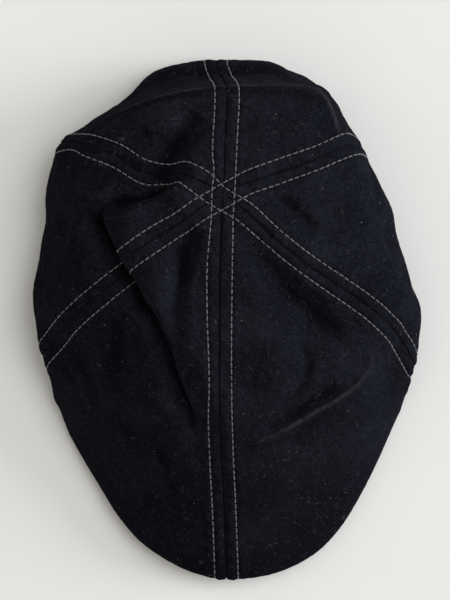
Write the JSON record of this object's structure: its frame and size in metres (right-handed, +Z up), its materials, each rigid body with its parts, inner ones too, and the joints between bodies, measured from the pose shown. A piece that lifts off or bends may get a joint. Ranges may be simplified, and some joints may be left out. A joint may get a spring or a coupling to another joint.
{
  "type": "flat cap",
  "caption": "Soft black flat cap with a panelled crown that runs on over a stiff curved visor, double topstitched seams, satin lining and sweatband.",
  "frame": {"origin": "centre of the cap's footprint, on the surface that the cap rests on", "axes": "+Z up out of the crown; -Y towards the front of the visor; +X towards the wearer's left"},
  "size_m": [0.2, 0.2795, 0.0664],
  "materials": {
    "crown_cloth": "brushed cotton twill, black with a slight blue cast, matt with a soft nap",
    "lining": "black satin",
    "sweatband": "black cotton twill tape",
    "visor_board": "natural polyethylene sheet",
    "thread": "mid-grey spun polyester topstitching thread",
    "label": "blank woven label, grey"
  },
  "bodies": {
    "root": {"crown_panel_front_left": "crown_cloth", "crown_panel_front_right": "crown_cloth", "crown_panel_side_left": "crown_cloth", "crown_panel_side_right": "crown_cloth", "crown_panel_back_left": "crown_cloth", "crown_panel_back_right": "crown_cloth", "lining_panel_front_left": "lining", "lining_panel_front_right": "lining", "lining_panel_side_left": "lining", "lining_panel_side_right": "lining", "lining_panel_back_left": "lining", "lining_panel_back_right": "lining", "topstitch_front_fore_left": "thread", "topstitch_front_fore_right": "thread", "topstitch_front_aft_left": "thread", "topstitch_front_aft_right": "thread", "topstitch_side_fore_left": "thread", "topstitch_side_fore_right": "thread", "topstitch_side_aft_left": "thread", "topstitch_side_aft_right": "thread", "topstitch_back_fore_left": "thread", "topstitch_back_fore_right": "thread", "topstitch_back_aft_left": "thread", "topstitch_back_aft_right": "thread", "visor_under_cover": "crown_cloth", "visor_board": "visor_board", "sweatband": "sweatband", "size_label": "label"}
  },
  "joints": []
}
